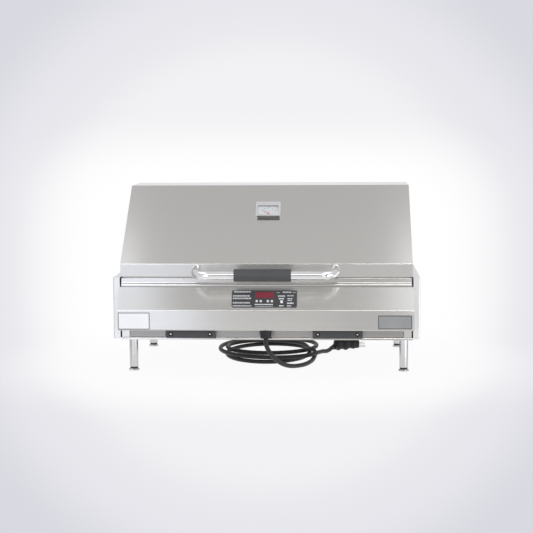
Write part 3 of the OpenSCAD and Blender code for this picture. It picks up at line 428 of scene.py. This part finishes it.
nodeFinish = {
    "steelHood": ["hood_skin"],
    "steelAcross": ["front_rail", "control_fascia", "base_pan", "rear_panel", "tray_guide_left",
                    "tray_guide_right"],
    "steelDeep": ["hood_end_left", "hood_end_right"],
    "steelUpright": ["side_panel_left", "side_panel_right"],
    "trayShadedSteel": ["tray_left", "tray_right", "tray_divider"],
    "fireboxSheet": ["firebox", "heat_shield", "element_rests"],
    "legTube": ["leg_front_left", "leg_front_right", "leg_rear_left", "leg_rear_right", "temperature_probe",
                "hinge_base_left", "hinge_base_right", "hinge_leaf_left", "hinge_leaf_right",
                "hinge_pin_left", "hinge_pin_right"],
    # the feet carry a black band of painted shade at the groove
    "footShadeBand": ["foot_front_left", "foot_front_right", "foot_rear_left", "foot_rear_right"],
    "handleChrome": ["hood_handle", "thermometer_case"],
    "grateRods": ["grate_left", "grate_right"],
    "heaterSheath": ["heating_element"],
    "plugContacts": ["plug_blades"],
    "gripFoam": ["handle_grip"],
    "pullPlastic": ["tray_handle_left", "tray_handle_right", "power_relay"],
    "cordRubber": ["strain_relief", "plug_body"],
    "keypadFilm": ["keypad_overlay"],
    "displayRed": ["display_window"],
    "keyWhite": ["key_1", "key_2", "key_3", "key_4"],
    "dialEnamel": ["thermometer_dial"],
    "needleRed": ["thermometer_needle"],
    "gaugeLens": ["thermometer_lens"],
    "boardMask": ["control_board"],
    "terminalCeramic": ["terminal_block"],
}


def dress(piece, *names):
    piece.data.materials.clear()
    for name in names:
        piece.data.materials.append(finishes[name])


for finish, members in nodeFinish.items():
    for member in members:
        dress(nodes[member], finish)
dress(powerCord, "cordRubber")
print("finishes set:", len(finishes))


# small pieces

# axes on a sloped face: x to the right, y up the slope and z out of it, from a joint's axis straight in
def slopeFrame(joint, node):
    outward = -Vector(joints[joint]["axis"]).normalized()
    across = Vector((1, 0, 0))
    up = outward.cross(across)
    turn = Matrix((across, up, outward)).transposed().to_4x4()
    return Matrix.Translation(boxCentre(node)) @ turn


# puts the piece's place into its mesh and says what it rides on
def settle(piece, name, place, body):
    piece.name = name
    piece.data.name = name
    pickOnly(piece)
    piece.matrix_world = place @ piece.matrix_world
    bpy.ops.object.transform_apply(location=True, rotation=True, scale=True)
    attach(piece, body)
    return piece


def joined(parts):
    nothingSelected()
    for part in parts:
        part.select_set(True)
    bpy.context.view_layer.objects.active = parts[0]
    if len(parts) > 1:
        bpy.ops.object.join()
    return bpy.context.object


def thicken(piece, depth):
    pickOnly(piece)
    solid = piece.modifiers.new("thickness", "SOLIDIFY")
    solid.thickness = depth
    solid.offset = 1
    bpy.ops.object.modifier_apply(modifier=solid.name)


def softenEdges(piece, width):
    pickOnly(piece)
    edges = piece.modifiers.new("softEdges", "BEVEL")
    edges.width = width
    edges.segments = 2
    bpy.ops.object.modifier_apply(modifier=edges.name)


def addBar(x, y, width, height):
    nothingSelected()
    bpy.ops.mesh.primitive_plane_add(size=1, location=(x, y, 0))
    bar = bpy.context.object
    bar.scale = (width, height, 1)
    bpy.ops.object.transform_apply(location=True, rotation=True, scale=True)
    return bar


def addBlock(low, high):
    nothingSelected()
    bpy.ops.mesh.primitive_cube_add(size=1)
    block = bpy.context.object
    block.scale = high - low
    block.location = (low + high) / 2
    bpy.ops.object.transform_apply(location=True, rotation=True, scale=True)
    return block


# rows of plain bars beside and under the display: left, right, middle of the row, height
legend = {
    "greyRows": [(-80, -36, 20, 3.6), (-83, -38, 8.4, 4), (-83, -33, 1.4, 4.4), (-83, -37, -11, 4.4),
                 (-83, -34, -19.6, 3.4), (32, 40, 18.2, 1.6), (48, 71, 19, 3.2), (75, 83, 18.2, 1.6),
                 (36, 56, 8, 4.4), (60, 79, 9, 2.8), (-24, 23, -21, 1.5)],
    "whiteRows": [(38, 54, 0.6, 3), (42, 49, -8, 8), (61, 74, 0.6, 2.2), (61, 73, -4.4, 1.8),
                  (60, 77, -12, 3.6), (39, 53, -19.4, 2.6), (60, 71, -19.4, 2.2), (-25, 23.5, -15.6, 2.6)],
    "words": (3, 8),
    "wordGap": 0.9,
    "lift": 0.4,  # from the middle of the film to its face
    "thickness": 0.06,
    "seed": 5,
}


def wordRow(left, right, y, height, look, draw):
    bars = []
    x = left
    while x < right - look["words"][0] / 2:
        width = min(draw.uniform(*look["words"]), right - x)
        bars.append(addBar((x + width / 2) * mm, y * mm, width * mm, height * mm))
        x += width + look["wordGap"]
    return bars


def makeLegend(name, rows, finish, look):
    draw = random.Random(look["seed"])
    bars = []
    for left, right, y, height in rows:
        bars += wordRow(left, right, y, height, look, draw)
    piece = joined(bars)
    thicken(piece, look["thickness"] * mm)
    dress(piece, finish)
    face = slopeFrame("key_1_press", "keypad_overlay")
    lift = Matrix.Translation((0, 0, look["lift"] * mm))
    return settle(piece, name, face @ lift, "base")


makeLegend("keypadLegend", legend["greyRows"], "greyInk", legend)
makeLegend("keypadCaptions", legend["whiteRows"], "whiteInk", legend)
print("keypad legend made")


# dial of the thermometer
dial = {
    "pivotDown": 9.5,
    "depth": 3.9,        # dial face behind the middle of the lens
    "sweep": (143, 33),  # degrees, cold to hot
    "ticks": 25,
    "tickRadius": 20.3,
    "tickLength": (1.1, 1.7),
    "longTickEvery": 6,
    "tickWidth": 0.35,
    "numbers": [100, 200, 300, 400, 500],
    "numberRadius": 23.5,
    "numberSize": 2.8,
    "thickness": 0.05,
}


def dialAngle(look, i, count):
    start, end = look["sweep"]
    return math.radians(start + (end - start) * i / (count - 1))


def onDial(radius, angle):
    return Matrix.Translation((radius * math.cos(angle) * mm, radius * math.sin(angle) * mm, 0))


def makeDialMarks(look):
    marks = []
    for i in range(look["ticks"]):
        angle = dialAngle(look, i, look["ticks"])
        length = look["tickLength"][1 if i % look["longTickEvery"] == 0 else 0]
        tick = addBar(0, 0, length * mm, look["tickWidth"] * mm)
        tick.matrix_world = onDial(look["tickRadius"] + length / 2, angle) @ Matrix.Rotation(angle, 4, "Z")
        marks.append(tick)
    for i, number in enumerate(look["numbers"]):
        angle = dialAngle(look, i, len(look["numbers"]))
        nothingSelected()
        bpy.ops.object.text_add()
        figure = bpy.context.object
        figure.data.body = str(number)
        figure.data.size = look["numberSize"] * mm
        figure.data.align_x = "CENTER"
        figure.data.align_y = "CENTER"
        bpy.ops.object.convert(target="MESH")
        figure = bpy.context.object
        upright = Matrix.Rotation(angle - math.pi / 2, 4, "Z")
        figure.matrix_world = onDial(look["numberRadius"], angle) @ upright
        marks.append(figure)
    for mark in marks:
        pickOnly(mark)
        bpy.ops.object.transform_apply(location=True, rotation=True, scale=True)
    piece = joined(marks)
    thicken(piece, look["thickness"] * mm)
    dress(piece, "darkInk")
    face = slopeFrame("needle_turn", "thermometer_lens")
    down = Matrix.Translation((0, -look["pivotDown"] * mm, -look["depth"] * mm))
    return settle(piece, "dialMarks", face @ down, "hood")


makeDialMarks(dial)
print("dial marked")


# two bare plates on the control front
plates = {
    "plateLeft": {"x": (-389.4, -305.5), "z": (133.6, 178.2), "border": 1.7, "raise": 0.15,
                  "field": "plateWhite"},
    "plateRight": {"x": (295, 384), "z": (135.5, 172), "border": 2.4, "raise": -0.2, "field": "plateGrey"},
}
plateEdges = {"thickness": 0.6, "step": 0.3, "round": 0.12}


def makePlate(name, look, edges):
    (left, right), (bottom, top) = look["x"], look["z"]
    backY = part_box("control_fascia")[0].y
    faceY = backY - edges["thickness"] * mm
    plate = addBlock(Vector((left * mm, faceY, bottom * mm)), Vector((right * mm, backY, top * mm)))
    dress(plate, "plateEdge", look["field"])
    for face in plate.data.polygons:
        face.select = face.normal.y < -0.9  # the front
    bpy.ops.object.mode_set(mode="EDIT")
    bpy.ops.mesh.select_mode(type="FACE")
    bpy.ops.mesh.inset(thickness=look["border"] * mm, depth=0)
    bpy.ops.mesh.inset(thickness=edges["step"] * mm, depth=look["raise"] * mm)
    plate.active_material_index = 1
    bpy.ops.object.material_slot_assign()
    bpy.ops.object.mode_set(mode="OBJECT")
    softenEdges(plate, edges["round"] * mm)
    return settle(plate, name, Matrix.Identity(4), "base")


for plateName, plateShape in plates.items():
    makePlate(plateName, plateShape, plateEdges)
print("bare plates made")


# steel strips behind the narrow gaps over and under the front rail: back from the rail's front, up from its
# upper or lower side, and short of the ends of the node above the gap
strips = {
    "hoodSeat": {"back": (7.6, 11.6), "lift": (0, 1.25), "ends": 8, "under": "hood_skin", "onTop": True,
                 "finish": "steelAcross"},
    # its steel is the trays' darker copy: painted shade in the gap under the rail
    "railSeat": {"back": (1.5, 4.5), "lift": (-1.2, 0.6), "ends": 4, "under": "front_rail", "onTop": False,
                 "finish": "trayShadedSteel"},
}
stripEdge = 0.25


def makeStrip(name, look):
    railLow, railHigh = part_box("front_rail")
    overLow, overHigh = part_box(look["under"])
    half = (overHigh.x - overLow.x) / 2 - look["ends"] * mm
    baseZ = railHigh.z if look["onTop"] else railLow.z
    near, far = (railLow.y + back * mm for back in look["back"])
    bottom, top = (baseZ + lift * mm for lift in look["lift"])
    strip = addBlock(Vector((-half, near, bottom)), Vector((half, far, top)))
    softenEdges(strip, stripEdge * mm)
    dress(strip, look["finish"])
    return settle(strip, name, Matrix.Identity(4), "base")


for stripName, stripLook in strips.items():
    makeStrip(stripName, stripLook)
print("strips laid")


# round heads, with a socket or cup sunk in the top inside the rim
screw = {"sides": 24, "radius": 2.7, "height": 2.2, "round": 0.6, "roundSteps": 3, "rim": 0.9, "sunk": 0.8}
# black discs at the bottom of the pull's screw holes: painted shade, for the shadow inside each hole
holeShadeDisc = {"sides": 32, "radius": 5.3, "height": 1.4, "round": 0.3, "roundSteps": 2, "rim": 1.1, "sunk": 0.9}
hingeScrew = {"sides": 24, "radius": 3.2, "height": 1.4, "round": 0.5, "roundSteps": 3, "rim": 1.2,
              "sunk": 0.7}


def makeHead(look):
    nothingSelected()
    bpy.ops.mesh.primitive_cylinder_add(vertices=look["sides"], radius=look["radius"] * mm,
                                        depth=look["height"] * mm, location=(0, 0, look["height"] / 2 * mm))
    head = bpy.context.object
    bpy.ops.object.transform_apply(location=True, rotation=True, scale=True)
    for face in head.data.polygons:
        face.select = face.normal.z > 0.9  # the top
    bpy.ops.object.mode_set(mode="EDIT")
    bpy.ops.mesh.select_mode(type="FACE")
    bpy.ops.mesh.bevel(offset=look["round"] * mm, segments=look["roundSteps"], affect="EDGES")
    bpy.ops.object.mode_set(mode="OBJECT")
    topZ = max(v.co.z for v in head.data.vertices)
    for face in head.data.polygons:
        face.select = face.normal.z > 0.99 and face.center.z > topZ - 1e-6  # what is left of the top
    bpy.ops.object.mode_set(mode="EDIT")
    bpy.ops.mesh.inset(thickness=look["rim"] * mm)
    bpy.ops.mesh.extrude_region_move(TRANSFORM_OT_translate={"value": (0, 0, -look["sunk"] * mm)})
    bpy.ops.object.mode_set(mode="OBJECT")
    bpy.ops.object.shade_smooth_by_angle(angle=smoothAngle)
    return head


def placeCopies(name, first, places, outward, body, finish):
    turn = Vector((0, 0, 1)).rotation_difference(Vector(outward)).to_matrix().to_4x4()
    heads = []
    for place in places:
        pickOnly(first)
        bpy.ops.object.duplicate()
        copy = bpy.context.object
        copy.matrix_world = Matrix.Translation(place) @ turn
        heads.append(copy)
    bpy.data.objects.remove(first)
    for head in heads:
        pickOnly(head)
        bpy.ops.object.transform_apply(location=True, rotation=True, scale=True)
    piece = joined(heads)
    dress(piece, finish)
    return settle(piece, name, Matrix.Identity(4), body)


# sunk holes of a tray's handle
pullHoles = {"spacing": 104, "depth": 4}


def screwPull(side, holes):
    low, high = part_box("tray_handle_" + side)
    middle = (low + high) / 2
    half = holes["spacing"] / 2 * mm
    seatY = low.y + holes["depth"] * mm
    places = [(middle.x + way * half, seatY, middle.z) for way in (-1, 1)]
    front, tray = (0, -1, 0), "tray_" + side
    # a black disc at the bottom of each hole, under the screw: painted shade
    placeCopies("pullHoleShade_" + side, makeHead(holeShadeDisc), places, front, tray, "paintedHoleShade")
    placeCopies("pullScrews_" + side, makeHead(screw), places, front, tray, "legTube")


# three screws across each leaf of a hinge
hingeHoles = {"across": (0.17, 0.5, 0.83), "fromBack": 9, "fromTop": 10, "leafThickness": 2}


def screwHinge(side, holes):
    low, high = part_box("hinge_base_" + side)
    across = [low.x + (high.x - low.x) * share for share in holes["across"]]
    leaf = holes["leafThickness"] * mm
    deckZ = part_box("rear_panel")[1].z + leaf
    onDeck = [(x, high.y - holes["fromBack"] * mm, deckZ) for x in across]
    placeCopies("deckScrews_" + side, makeHead(hingeScrew), onDeck, (0, 0, 1), "base",
                "legTube")
    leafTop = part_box("hinge_leaf_" + side)[1].z
    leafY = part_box("hood_skin")[1].y + leaf
    onLeaf = [(x, leafY, leafTop - holes["fromTop"] * mm) for x in across]
    placeCopies("leafScrews_" + side, makeHead(hingeScrew), onLeaf, (0, 1, 0), "hood",
                "legTube")


for side in ("left", "right"):
    screwPull(side, pullHoles)
    screwHinge(side, hingeHoles)
print("screws placed")


# stage

stageLook = {
    "floorRadius": 2.4,
    "floorSides": 96,
    "floorDrop": 0.0004,
    "floorColour": (0.86, 0.86, 0.87),
    "floorSolid": 0.35,  # the floor fades into the backdrop from here
    "floorGone": 0.9,
    "shadowShare": 0.07,
    "glow": (0.121, 0.2015),  # half width of the white middle in the view, and where it ends, in radians
    "glowFlat": 1.75,         # the white middle is wider than high
    "tones": [(0.14, (0.888, 0.888, 0.905)), (0.192, (0.8, 0.8, 0.843)),
              (0.25, (0.694, 0.694, 0.753)), (0.7, (0.7, 0.697, 0.714))],
}


# 1 for what the camera, metal and glass see, 0 for the light on the object
def rayShare(tree):
    path = addNode(tree, "ShaderNodeLightPath")
    firstTwo = addNode(tree, "ShaderNodeMath", operation="ADD")
    allThree = addNode(tree, "ShaderNodeMath", operation="ADD", use_clamp=True)
    tree.links.new(path.outputs["Is Camera Ray"], firstTwo.inputs[0])
    tree.links.new(path.outputs["Is Glossy Ray"], firstTwo.inputs[1])
    tree.links.new(firstTwo.outputs[0], allThree.inputs[0])
    tree.links.new(path.outputs["Is Transmission Ray"], allThree.inputs[1])
    return allThree.outputs[0]


def vectorStep(tree, operation, vector, other=None, output="Vector"):
    step = addNode(tree, "ShaderNodeVectorMath", operation=operation)
    tree.links.new(vector, step.inputs[0])
    if isinstance(other, tuple):
        step.inputs[1].default_value = other
    elif other is not None:
        tree.links.new(other, step.inputs[1])
    return step.outputs[output]


# pale grey all round, with a white middle where the photo's backdrop is white
def setWorld(look):
    world = bpy.data.worlds.new("paleStudio")
    bpy.context.scene.world = world
    world.use_nodes = True
    tree = world.node_tree
    place = addNode(tree, "ShaderNodeTexCoord")
    intoView = viewTurn.to_3x3().inverted().to_euler()
    turned = addNode(tree, "ShaderNodeMapping", {"Rotation": intoView}, vector_type="POINT")
    tree.links.new(place.outputs["Generated"], turned.inputs["Vector"])
    fromMiddle = vectorStep(tree, "ADD", turned.outputs["Vector"], (0, 0, 1))
    away = vectorStep(tree, "LENGTH", fromMiddle, output="Value")
    ramp = addNode(tree, "ShaderNodeValToRGB")
    ramp.color_ramp.interpolation = "EASE"
    stops = ramp.color_ramp.elements
    while len(stops) < len(look["tones"]):
        stops.new(0.5)
    for stop, (position, tone) in zip(stops, look["tones"]):
        stop.position = position
        stop.color = (*tone, 1)
    tree.links.new(away, ramp.inputs["Fac"])
    flat = vectorStep(tree, "MULTIPLY", fromMiddle, (1, look["glowFlat"], 1))
    squared = vectorStep(tree, "MULTIPLY", flat, flat)
    reach = addNode(tree, "ShaderNodeMath", operation="SQRT")
    tree.links.new(vectorStep(tree, "LENGTH", squared, output="Value"), reach.inputs[0])
    inner, outer = look["glow"]
    fade = addNode(tree, "ShaderNodeMapRange", {"From Min": inner, "From Max": outer},
                   interpolation_type="SMOOTHSTEP")
    tree.links.new(reach.outputs[0], fade.inputs["Value"])
    plain = addNode(tree, "ShaderNodeBackground", {"Color": (1, 1, 1, 1)})
    tree.links.new(ramp.outputs["Color"], tree.nodes["Background"].inputs["Color"])
    both = addNode(tree, "ShaderNodeMixShader")
    tree.links.new(fade.outputs["Result"], both.inputs["Fac"])
    tree.links.new(plain.outputs["Background"], both.inputs[1])
    tree.links.new(tree.nodes["Background"].outputs["Background"], both.inputs[2])
    tree.links.new(both.outputs["Shader"], tree.nodes["World Output"].inputs["Surface"])


def makeFloor(look):
    nothingSelected()
    bpy.ops.mesh.primitive_circle_add(vertices=look["floorSides"], radius=look["floorRadius"],
                                      fill_type="NGON", location=(0, 0, -look["floorDrop"]))
    floor = bpy.context.object
    floor.name = "paleFloor"
    material = bpy.data.materials.new("paleFloor")
    material.use_nodes = True
    tree = material.node_tree
    tree.nodes.remove(tree.nodes["Principled BSDF"])
    lit = addNode(tree, "ShaderNodeBsdfDiffuse", {"Color": (*look["floorColour"], 1)})
    plain = addNode(tree, "ShaderNodeEmission", {"Color": (1, 1, 1, 1), "Strength": 1.0})
    clear = addNode(tree, "ShaderNodeBsdfTransparent")
    share = addNode(tree, "ShaderNodeMath", {1: 1 - look["shadowShare"]}, operation="MULTIPLY")
    tree.links.new(rayShare(tree), share.inputs[0])
    shown = addNode(tree, "ShaderNodeMixShader")
    tree.links.new(share.outputs[0], shown.inputs["Fac"])
    tree.links.new(lit.outputs["BSDF"], shown.inputs[1])
    tree.links.new(plain.outputs["Emission"], shown.inputs[2])
    place = addNode(tree, "ShaderNodeTexCoord")
    reach = vectorStep(tree, "LENGTH", place.outputs["Object"], output="Value")
    edge = {"From Min": look["floorSolid"], "From Max": look["floorGone"]}
    fade = addNode(tree, "ShaderNodeMapRange", edge, interpolation_type="SMOOTHSTEP")
    tree.links.new(reach, fade.inputs["Value"])
    faded = addNode(tree, "ShaderNodeMixShader")
    tree.links.new(fade.outputs["Result"], faded.inputs["Fac"])
    tree.links.new(shown.outputs["Shader"], faded.inputs[1])
    tree.links.new(clear.outputs["BSDF"], faded.inputs[2])
    tree.links.new(faded.outputs["Shader"], tree.nodes["Material Output"].inputs["Surface"])
    floor.data.materials.append(material)


# softboxes: radiance over the backdrop's own
softboxes = {
    "frontStrip": {"place": (0.1, -4.0, 2.38), "aim": (0.1, 0, 0.25), "size": (3.6, 1.2),
                   "radiance": 2.3, "colour": (1, 1, 1), "glossOnly": True},
    "leftStrip": {"place": (-1.25, -3.98, 2.38), "aim": (-1.25, 0, 0.25), "size": (1.3, 1.2),
                  "radiance": 0.45, "colour": (1, 1, 1), "glossOnly": True},
    "rightStrip": {"place": (0.96, -3.98, 2.38), "aim": (0.96, 0, 0.25), "size": (1.5, 1.2),
                   "radiance": 2.0, "colour": (1, 1, 1), "glossOnly": True},
    "leftCard": {"place": (-1.6, -3.74, 0), "aim": (-1.6, 0, 0), "size": (2.1, 1.9),
                 "radiance": 0.74, "colour": (0.755, 0.82, 1)},
    "leftUpper": {"place": (-1.6, -3.72, 0.78), "aim": (-1.6, 0, 0.78), "size": (2.1, 0.9),
                  "radiance": 1.0, "colour": (0.75, 0.82, 1)},
    "frontCard": {"place": (-0.2, -3.74, -0.6), "aim": (-0.2, 0, -0.6), "size": (0.8, 0.8),
                  "radiance": 0.21, "colour": (1, 1, 1)},
    "edgeCard": {"place": (1.3, -3.74, -0.3), "aim": (1.3, 0, -0.3), "size": (1.46, 1.2),
                 "radiance": 0.53, "colour": (0.88, 0.92, 1)},
    "slopeLeft": {"place": (-1.67, -3.1, 3.95), "aim": (-1.67, 0, 0.25), "size": (1.5, 2.4),
                  "radiance": 0.25, "colour": (0.45, 0.58, 1), "glossOnly": True},
    "slopeRight": {"place": (1.25, -3.1, 3.95), "aim": (1.25, 0, 0.25), "size": (1.5, 2.4),
                   "radiance": 0.17, "colour": (0.6, 0.72, 1), "glossOnly": True},
    "rightCard": {"place": (3.2, -2.4, 0), "aim": (0.4, -0.2, 0.2), "size": (2.4, 2.4),
                  "radiance": 1.5, "colour": (0.88, 0.93, 1)},
    "topLeft": {"place": (-1.35, -1.2, 2.4), "aim": (-1.35, -1.199, 0), "size": (1.4, 2.4),
                "radiance": 0.63, "colour": (0.86, 0.9, 1)},
    "topRight": {"place": (1.14, -1.2, 2.4), "aim": (1.14, -1.199, 0), "size": (1.4, 2.4),
                 "radiance": 0.57, "colour": (0.92, 0.95, 1)},
    "topSheet": {"place": (0, -1.2, 2.45), "aim": (0, -1.199, 0), "size": (4, 2.4),
                 "radiance": 0.05, "colour": (1, 0.99, 0.97)},
    "backSheet": {"place": (0, 3.0, 1.5), "aim": (0, 0, 1.5), "size": (3.4, 1.8),
                  "radiance": 0.23, "colour": (0.97, 0.98, 1)},
}
wattsPerArea = 4  # of a lamp with a radiance of 1

# dark bands in front, seen only in the metal: the line in the chrome, and the tone of the sloped front
darkCards = {
    "chromeLine": {"x": (-3, 3), "y": -4.4, "z": (0.22, 2), "tone": (0.02, 0.02, 0.02)},
    "slopeTone": {"x": (-3, 3), "y": -3.2, "z": (2.7, 5.2), "tone": (0.44, 0.44, 0.446)},
}


def addSoftbox(name, look):
    nothingSelected()
    bpy.ops.object.light_add(type="AREA", location=look["place"])
    box = bpy.context.object
    box.name = name
    box.data.shape = "RECTANGLE"
    box.data.size, box.data.size_y = look["size"]
    box.data.energy = look["radiance"] * wattsPerArea * box.data.size * box.data.size_y
    box.data.color = look["colour"]
    box.rotation_euler = (Vector(look["aim"]) - Vector(look["place"])).to_track_quat("-Z", "Y").to_euler()
    box.visible_camera = False
    box.visible_diffuse = not look.get("glossOnly", False)


def addDarkCard(name, look):
    nothingSelected()
    bpy.ops.mesh.primitive_plane_add(size=1, rotation=(math.pi / 2, 0, 0))
    card = bpy.context.object
    card.name = name
    card.scale = (look["x"][1] - look["x"][0], look["z"][1] - look["z"][0], 1)
    card.location = (sum(look["x"]) / 2, look["y"], sum(look["z"]) / 2)
    card.visible_camera = card.visible_diffuse = card.visible_shadow = card.visible_transmission = False
    material = bpy.data.materials.new(name)
    material.use_nodes = True
    tree = material.node_tree
    tree.nodes.remove(tree.nodes["Principled BSDF"])
    tone = addNode(tree, "ShaderNodeEmission", {"Color": (*look["tone"], 1)})
    tree.links.new(tone.outputs["Emission"], tree.nodes["Material Output"].inputs["Surface"])
    card.data.materials.append(material)


setWorld(stageLook)
makeFloor(stageLook)
for boxName, boxLook in softboxes.items():
    addSoftbox(boxName, boxLook)
for cardName, cardLook in darkCards.items():
    addDarkCard(cardName, cardLook)
print("stage lit")
